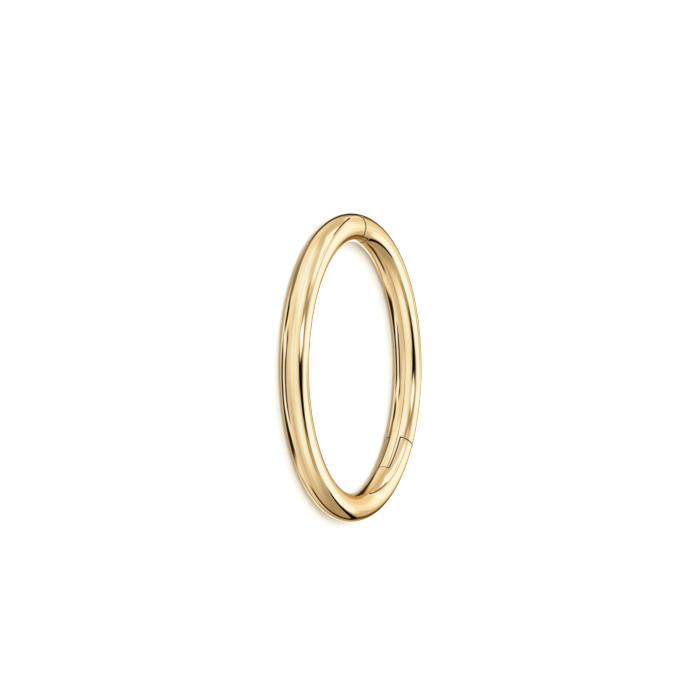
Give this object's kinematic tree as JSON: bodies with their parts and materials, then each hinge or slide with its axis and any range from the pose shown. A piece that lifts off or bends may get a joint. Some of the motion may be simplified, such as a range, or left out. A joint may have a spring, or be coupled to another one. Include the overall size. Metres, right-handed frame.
{
  "type": "hinged hoop earring",
  "caption": "Plain round-wire hoop earring in polished yellow gold, with a gate arc that swings out on a hidden hinge pin and closes over a small tongue.",
  "frame": {"origin": "middle of the ring, level with the surface that it lies on", "axes": "+Z along the ring's axis, up as it lies on its side; +X towards its 3 o'clock side, where the gate arc is; +Y towards its 12 o'clock side, where the two arcs close"},
  "size_m": [0.0136, 0.0135, 0.0012],
  "materials": {
    "gold": "mirror polished yellow gold"
  },
  "bodies": {
    "hoop": {"hoop_arc": "gold", "hinge_pin": "gold"},
    "gate": {"gate_arc": "gold"}
  },
  "joints": [
    {"name": "gate_hinge", "type": "hinge", "parent": "hoop", "child": "gate", "pos_m": [0.00444, -0.00422, 0.00063], "axis": [0, 0, -1], "range_deg": [0, 90]}
  ]
}
